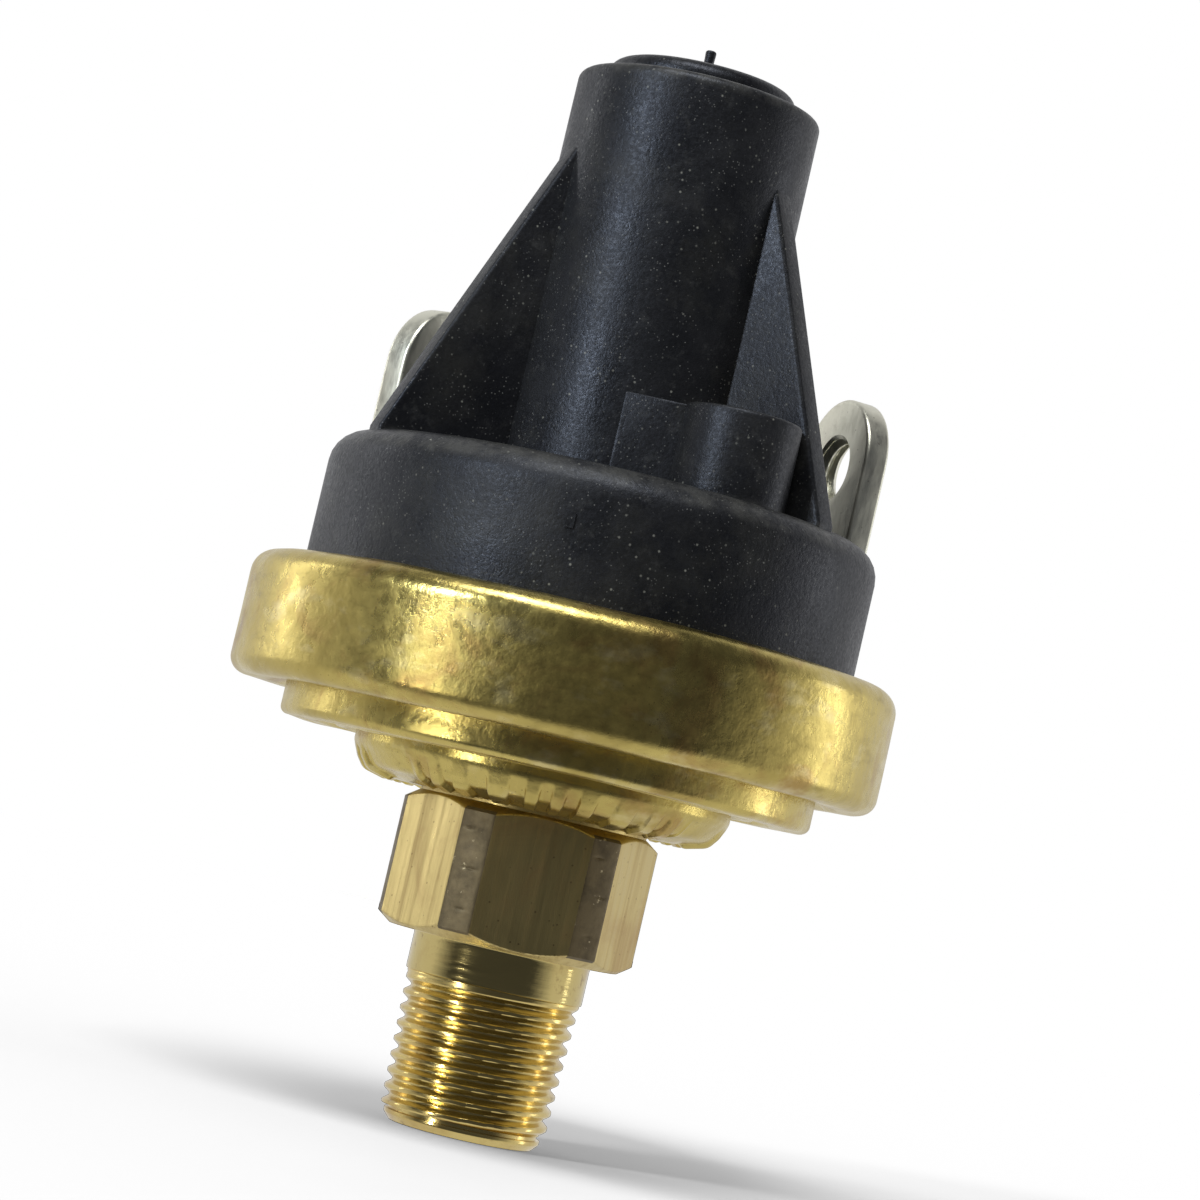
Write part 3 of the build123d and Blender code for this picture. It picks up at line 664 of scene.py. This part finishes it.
# ---------------------------------------------------------------- pusher group
stem = [
    (0, 15.2), (8.9, 15.2), (8.9, 16.6), (3.0, 16.6), (3.0, 20.8), (2.6, 20.8),
    (2.6, 21.3), (3.0, 21.3), (3.0, 29.5), (0, 29.5),
]
pusher = lathe("pusher_visual", stem, [0, 0.2, 0.3, 0.4, 0, 0, 0, 0.05, 0.2, 0], M_PALE, 160)
settle(pusher, "pusher", "pusher", slot="pale_moulding")
clip = lathe("retaining_clip_visual", ring_profile(4.6, 2.6, 20.8, 21.3), 0.08, M_SPRING, 120)
gap = prism("clip_gap", [(0.5, 20), (6, 20), (6, 22), (0.5, 22)], 2.4, M_SPRING)
combine(clip, gap, "DIFFERENCE")
settle(finish_mesh(clip), "pusher", "retaining_clip", slot="spring_steel")
seat_low = lathe(
    "lower_spring_seat_visual", [(0, 29.5), (4.2, 29.5), (4.2, 30.5), (2.55, 30.5), (2.55, 32), (0, 32)],
    [0, 0.12, 0.12, 0.15, 0.35, 0], M_TURNED, 120,
)
settle(seat_low, "pusher", "lower_spring_seat", slot="brass_turned")
light_spring, = coil("overtravel_spring_visual", 4.4, 0.3, 16.6, 20.0, 2.2, M_SPRING)
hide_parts("overtravel_spring")
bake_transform(light_spring)
contact = lathe("contact_disc_visual", ring_profile(10.3, 3.06, 20.0, 20.8), 0.12, M_SILVER, 192)
settle(contact, "contact_disc", "contact_disc", slot="silver_contact")

# ---------------------------------------------------------------- calibration group
seat_high = lathe(
    "upper_spring_seat_visual", [(0, 39), (2.55, 39), (2.55, 40.5), (4.2, 40.5), (4.2, 41.5), (0, 41.5)],
    [0, 0.35, 0.15, 0.12, 0.12, 0], M_TURNED, 120,
)
settle(seat_high, "upper_seat", "upper_spring_seat", slot="brass_turned")
# The main spring is built in two pieces, cut at 33.5 mm height; neither piece is attached to a body.
spring_low, spring_high = coil("calibration_spring_visual", 3.3, 0.45, 30.5, 40.5, 4.4, M_SPRING, split=33.5)
for span in (spring_low, spring_high):
    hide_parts("calibration_spring")
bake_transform(spring_low)
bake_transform(spring_high)


def calibration_screw():
    angles = evenly(144)
    rows = [(0, 41.5), (1.2, 41.5), (1.4, 41.7), (1.4, 42.4), (3.2, 42.4)]
    for z in np.linspace(42.4, 46.95, 74):
        flank = np.abs(((z - 42.4) - angles / TAU) % 1.0 - 0.5) * 2
        limit = 3.2 + min(z - 42.4, 47.0 - z) * 1.2
        rows.append((np.minimum(3.9 - 0.5 * (1 - np.clip(flank * 1.15, 0, 1)), limit), z))
    rows += [(3.15, 47.0), (0, 47.0)]
    obj = grid("calibration_screw_visual", rows, angles, M_TURNED, closed=False, sharp=28)
    slot = prism("slot_cut", [(-6, 45.6), (6, 45.6), (6, 48), (-6, 48)], 1.0, M_TURNED)
    return settle(finish_mesh(combine(obj, slot, "DIFFERENCE"), 28), "calibration_screw", "calibration_screw",
                  slot="brass_turned")


calibration_screw()
insert_outline = [
    (3.96, 42.6), (5.5, 42.6), (5.5, 44.9), (5.1, 44.9), (5.1, 46.1), (5.5, 46.1), (5.5, 48.4), (3.96, 48.4),
]
insert_radii = [0.2, 0.1, 0.1, 0.05, 0.05, 0.1, 0.1, 0.2]
insert = lathe("threaded_insert_visual", insert_outline, insert_radii, M_TURNED, 120)
settle(insert, "switch", "threaded_insert", slot="brass_turned")

# ---------------------------------------------------------------- plug
plug_outline = [
    (0, 49.0), (4.55, 49.0), (4.55, 50.15), (3.75, 50.15), (3.75, 51.05), (4.55, 51.05), (4.55, 52.1),
    (5.8, 52.1), (5.8, 53.7), (2.8, 53.9), (0.38, 53.9), (0.3, 54.6), (0.34, 55.6), (0, 55.6),
]
plug_radii = [0, 0.4, 0.05, 0.05, 0.05, 0.05, 0.05, 0.1, 0.9, 0.5, 0.1, 0.2, 0.15, 0]
plug = lathe("tower_plug_visual", plug_outline, plug_radii, M_PLUG, 192, 7)
roughen(plug, 0.03, 5, lambda x, y, z: (z > 53) * 1.0)
settle(plug, "switch", "tower_plug", slot="black_plug")
bead = [(4.2 + 0.45 * math.cos(a), 50.6 + 0.45 * math.sin(a)) for a in evenly(24)]
seal = lathe("plug_seal_visual", bead, 0, M_RUBBER, 120)
settle(seal, "switch", "plug_seal", slot="black_rubber")


# ---------------------------------------------------------------- terminals
def tapping(turn):
    """The tapped hole as a solid to cut away: #8-32 with a lead-in on the outer face."""
    angles = evenly(96)
    rows = [(0, -1.4)]
    for d in np.linspace(-1.4, 1.4, 62):
        flank = np.abs((d / 0.794 - angles / TAU) % 1.0 - 0.5) * 2
        radius = 1.715 + 0.34 * np.clip(flank * 1.15 - 0.1, 0, 1)
        rows.append((np.maximum(radius, 2.12 - (0.8 - abs(d)) * 0.95), d))
    rows.append((0, 1.4))
    obj = grid("tapping", rows, angles, M_TIN, closed=False)
    centre = Matrix.Translation((TAB_AXIS_R * MM, 0, TAB_HOLE_Z * MM))
    return place(obj, turn @ centre @ Matrix.Rotation(math.pi / 2, 4, "Y"))


def terminal(side, angle):
    turn = Matrix.Rotation(math.radians(angle), 4, "Z")
    quarter = Matrix.Rotation(math.pi / 2, 4, "Z")
    arc = [(4.1 * math.cos(a), 33.5 + 4.1 * math.sin(a)) for a in np.linspace(0, math.pi, 33)]
    outline = [(3.2, 25), (3.2, 26.6), (4.1, 26.6)] + arc + [(-4.1, 26.6), (-3.2, 26.6), (-3.2, 25)]
    tab = prism(f"terminal_{side}_visual", outline, 1.6, M_TIN)
    bevel(tab, 0.24, 4, 30)
    place(tab, turn @ Matrix.Translation((TAB_AXIS_R * MM, 0, 0)) @ quarter)
    side_view = rounded([(5.8, 22.2), (15.95, 22.2), (15.95, 25.6),
                         (14.35, 25.6), (14.35, 23.8), (5.8, 23.8)],
                        [0.3, 1.4, 0, 0, 0.4, 0.3], 6)
    leg = prism("leg", side_view, 6.4, M_TIN)
    place(leg, turn)
    combine(tab, leg, "UNION")
    combine(tab, tapping(turn), "DIFFERENCE")
    settle(finish_mesh(tab, 30), "switch", f"terminal_{side}", slot="tab_plate")
    rivet_outline = [(0, 21.6), (1.6, 21.6), (1.6, 22.2), (0.9, 22.2),
                     (0.9, 23.8), (1.4, 23.8), (1.4, 24.3), (0, 24.3)]
    rivet_radii = [0, 0.3, 0.05, 0, 0, 0.05, 0.2, 0]
    rivet = lathe(f"fixed_contact_{side}_visual", rivet_outline, rivet_radii, M_SILVER, 64)
    place(rivet, turn @ Matrix.Translation((8.2 * MM, 0, 0)))
    settle(rivet, "switch", f"fixed_contact_{side}", slot="silver_contact")


terminal("right", 30)
terminal("left", 150)


# ---------------------------------------------------------------- housing
def switch_housing():
    outline = [
        (13.0, 14.8), (18.85, 14.8), (18.85, 19.13), (16.8, 19.13), (16.8, 28.0), (7.55, 28.0), (7.48, 52.6),
        (5.9, 52.6), (5.9, 52.1), (4.65, 52.1), (4.65, 48.4), (5.5, 48.4), (5.5, 46.1), (5.1, 46.1),
        (5.1, 44.9), (5.5, 44.9), (5.5, 42.6), (4.65, 42.6), (4.65, 28.0), (3.06, 28.0), (3.06, 25.0), (13.0, 25.0),
    ]
    radii = [0.1, 0.3, 2.1, 0, 2.0, 0.35, 0.55, 0.35, 0.05, 0.2] + [0] * 8 + [0.2, 0.2, 0.2, 0.6]
    body = lathe("switch_housing_visual", outline, radii, M_BLACK, 288, 6)
    fin_outline = [(6.6, 26.9), (15.6, 26.9), (15.6, 28.1), (7.45, 47.4), (6.6, 47.4)]
    for angle in (-150, -30, 90):
        fin = prism("fin", fin_outline, 1.7, M_BLACK)
        bevel(fin, 0.22, 3)
        place(fin, Matrix.Rotation(math.radians(angle), 4, "Z"))
        combine(body, fin, "UNION")
    boss_turn = Matrix.Rotation(math.radians(BOSS_ANGLE), 4, "Z")
    boss = lathe("boss", [(0, 27.0), (3.5, 27.0), (3.45, 33.2), (2.0, 33.2), (2.0, 31.7), (0, 31.7)],
                 [0, 0, 0.25, 0.15, 0.1, 0], M_BLACK, 128, 4)
    place(boss, boss_turn @ Matrix.Translation((BOSS_R * MM, 0, 0)))
    combine(body, boss, "UNION")
    web = prism("web", [(0.45, 27.0), (5.0, 27.0), (5.0, 33.2), (0.45, 33.2)], 2.0, M_BLACK)
    bevel(web, 0.12, 2)
    combine(body, place(web, Matrix.Translation((0, WEB_Y * MM, 0))), "UNION")
    mark = prism("mark", [(-0.22, 23.9), (0.22, 23.9), (0.22, 24.75), (-0.22, 24.75)], 0.4, M_BLACK)
    combine(body, place(mark, Matrix.Translation((0, -16.7 * MM, 0))), "UNION")
    for angle in (30, 150):
        pocket = prism("pocket", [(-4.13, 26.57), (4.13, 26.57), (4.13, 30), (-4.13, 30)], 1.66, M_BLACK)
        quarter = Matrix.Rotation(math.pi / 2, 4, "Z")
        turn = Matrix.Rotation(math.radians(angle), 4, "Z")
        place(pocket, turn @ Matrix.Translation((TAB_AXIS_R * MM, 0, 0)) @ quarter)
        combine(body, pocket, "DIFFERENCE")
        low = prism("pocket_low", [(12, 22.17), (15.98, 22.17), (15.98, 27.1), (14.32, 27.1), (14.32, 23.83),
                                   (12, 23.83)], 6.46, M_BLACK)
        combine(body, place(low, turn), "DIFFERENCE")
    return settle(finish_mesh(body, 30), "switch", "switch_housing", slot="black_moulding")


switch_housing()
vent_outline = [(0, 31.7), (1.98, 31.7), (1.98, 33.0), (0, 33.0)]
vent = lathe("vent_filter_visual", vent_outline, [0, 0.1, 0.2, 0], M_SINTER, 64)
place(vent, Matrix.Rotation(math.radians(BOSS_ANGLE), 4, "Z") @ Matrix.Translation((BOSS_R * MM, 0, 0)))
settle(vent, "switch", "vent_filter", slot="sintered_bronze")

# ---------------------------------------------------------------- camera
EYE = Vector((22.0, -216.9, 6.3))
TILT, PAN, ROLL = math.radians(4.0), math.radians(0.25), math.radians(13.1)
level = Vector((-EYE.x, -EYE.y, 0)).normalized()
level = Matrix.Rotation(-PAN, 3, "Z") @ level
forward = level * math.cos(TILT) + Vector((0, 0, math.sin(TILT)))
right = forward.cross(Vector((0, 0, 1))).normalized()
up = right.cross(forward)
image_right = right * math.cos(ROLL) + up * math.sin(ROLL)
image_up = up * math.cos(ROLL) - right * math.sin(ROLL)
camera_data = bpy.data.cameras.new("camera")
camera_data.lens = 109.2
camera_data.sensor_width = 36
camera_data.clip_start = 0.01
camera = bpy.data.objects.new("camera", camera_data)
bpy.context.scene.collection.objects.link(camera)
camera.matrix_world = Matrix.Translation(EYE * MM) @ Matrix(
    (image_right, image_up, -forward)
).transposed().to_4x4()
bpy.context.scene.camera = camera

# ---------------------------------------------------------------- floor, light and world
# The floor takes shadows only, so that the low lamp can stand beside it.
floor_z = size_before[0][2] / MM - 0.05
corners = [(x * 500, y * 500, floor_z) for x, y in ((-1, -1), (1, -1), (1, 1), (-1, 1))]
floor = build("floor", corners, [(0, 1, 2, 3)], plain("pale_floor", (0.9, 0.9, 0.9), 0.0, 0.7, 40))
floor.is_shadow_catcher = True
floor.visible_shadow = False
floor.visible_glossy = False
floor.visible_diffuse = False


def area(name, towards, distance, size, power, color=(1, 1, 1)):
    data = bpy.data.lights.new(name, "AREA")
    data.shape = "RECTANGLE"
    data.size, data.size_y = (s * MM for s in size)
    data.energy = power
    data.color = color
    light = bpy.data.objects.new(name, data)
    bpy.context.scene.collection.objects.link(light)
    centre = Vector((0, 0, 20))
    spot = centre + towards.normalized() * distance
    light.location = spot * MM
    light.rotation_euler = (centre - spot).to_track_quat("-Z", "Y").to_euler()
    return light


def seen_from(azimuth, elevation):
    """A direction from the object, as degrees left or right of the camera and above the horizon."""
    base = math.atan2(EYE.y, EYE.x) + math.radians(azimuth)
    flat = math.cos(math.radians(elevation))
    return Vector((math.cos(base) * flat, math.sin(base) * flat, math.sin(math.radians(elevation))))


area("lamp", seen_from(-45, -6), 520, (10, 62), 0.30, (1.0, 0.98, 0.92))
area("left_window", seen_from(-48, 21), 500, (60, 150), 1.0, (0.82, 0.90, 1.0))
area("top_window", seen_from(-22, 64), 460, (300, 160), 1.35, (0.97, 0.98, 1.0))
area("left_wall", seen_from(-112, 12), 460, (60, 260), 0.18)
area("right_wall", seen_from(104, 5), 460, (60, 260), 0.16)

world = bpy.data.worlds.new("studio")
bpy.context.scene.world = world
world.use_nodes = True
tree = world.node_tree
tree.nodes.clear()


def world_node(kind, **inputs):
    made = tree.nodes.new(kind)
    for key, value in inputs.items():
        made.inputs[key.replace("_", " ")].default_value = value
    return made


def mixed(factor, first, second):
    made = tree.nodes.new("ShaderNodeMixShader")
    tree.links.new(factor, made.inputs["Fac"])
    tree.links.new(first.outputs[0], made.inputs[1])
    tree.links.new(second.outputs[0], made.inputs[2])
    return made


# Reflections see a pale card on the far, lower side and a dim room on the near side; the rest is even soft
# light.
towards = tree.nodes.new("ShaderNodeTexCoord").outputs["Generated"]
height = world_node("ShaderNodeVectorMath")
height.operation = "DOT_PRODUCT"
height.inputs[1].default_value = (0, -0.844, 0.536)
tree.links.new(towards, height.inputs[0])
above = world_node("ShaderNodeMapRange", From_Min=-0.05, From_Max=0.35)
tree.links.new(height.outputs["Value"], above.inputs["Value"])
table = world_node("ShaderNodeBackground", Color=(0.93, 0.93, 0.95, 1), Strength=0.8)
room = world_node("ShaderNodeBackground", Color=(0.85, 0.88, 1.0, 1), Strength=0.07)
reflected = mixed(above.outputs["Result"], table, room)
ambient = world_node("ShaderNodeBackground", Color=(0.98, 0.98, 1.0, 1), Strength=0.5)
white = world_node("ShaderNodeBackground", Color=(1, 1, 1, 1), Strength=1.0)
path = tree.nodes.new("ShaderNodeLightPath")
lit = mixed(path.outputs["Is Glossy Ray"], ambient, reflected)
shown = mixed(path.outputs["Is Camera Ray"], lit, white)
output = tree.nodes.new("ShaderNodeOutputWorld")
tree.links.new(shown.outputs[0], output.inputs["Surface"])
bpy.context.scene.view_settings.view_transform = "Standard"
